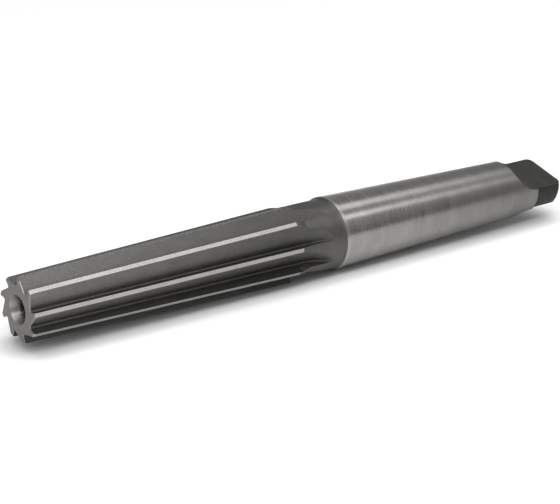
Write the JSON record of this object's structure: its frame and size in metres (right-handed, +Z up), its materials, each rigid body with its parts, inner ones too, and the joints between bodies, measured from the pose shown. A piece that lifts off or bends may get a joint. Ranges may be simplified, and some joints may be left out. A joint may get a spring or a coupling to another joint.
{
  "type": "morse taper reamer",
  "caption": "Straight-fluted tapered finishing reamer with a plain neck, a ground taper shank and a flat drive tang, for sizing tapered sockets.",
  "frame": {"origin": "under the middle of the tool's length, on the surface that it lies on", "axes": "+X along the tool's axis from the nose to the tang, +Z up, with the tool lying on its side on two teeth and the collar, and one tooth up"},
  "size_m": [0.212, 0.0246, 0.0244],
  "materials": {
    "steel": "ground satin steel on the lands and the shank, dark milled steel in the flutes, on the neck and on the tang"
  },
  "bodies": {
    "root": {"reamer": "steel"}
  },
  "joints": []
}
